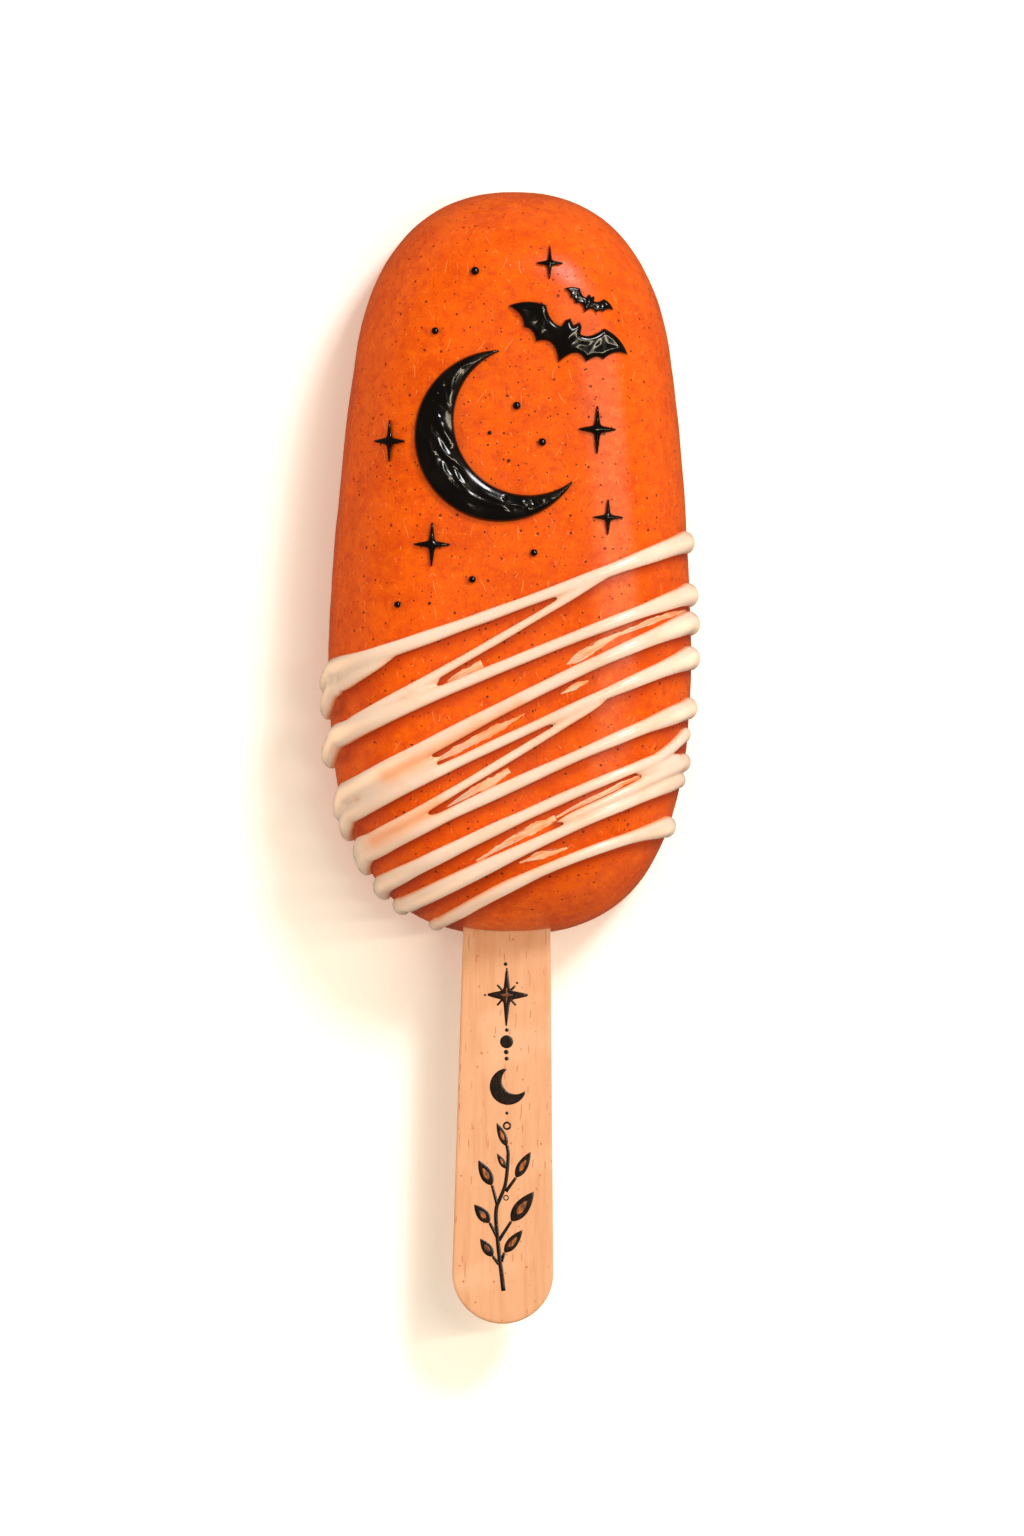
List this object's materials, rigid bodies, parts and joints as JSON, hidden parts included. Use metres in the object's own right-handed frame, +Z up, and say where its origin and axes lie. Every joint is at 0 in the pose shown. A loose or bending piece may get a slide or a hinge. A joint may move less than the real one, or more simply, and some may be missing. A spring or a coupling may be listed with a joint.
{
  "type": "cakesicle",
  "caption": "Cake bar on a flat wooden stick with an orange coating, slanted white chocolate drizzle, and black chocolate moon, bats, stars and beads.",
  "frame": {"origin": "the middle of the flat back, half way along the cake bar", "axes": "+Y along the bar away from the stick, +Z up through the decorated face, +X to the right as the face is seen with the stick down"},
  "size_m": [0.0486, 0.1446, 0.0251],
  "materials": {
    "orange_coating": "waxy semi-matte chocolate coating with fine dark specks and pale scratches",
    "white_chocolate": "glossy cream drizzle",
    "black_chocolate": "glossy black modelled chocolate",
    "wood": "bare pale birch with fine lengthwise grain",
    "burnt_wood": "dark burnt ornament"
  },
  "bodies": {
    "root": {"coated_cake": "orange_coating", "stick": "wood", "moon": "black_chocolate", "bat_large": "black_chocolate", "bat_small": "black_chocolate"}
  },
  "joints": []
}
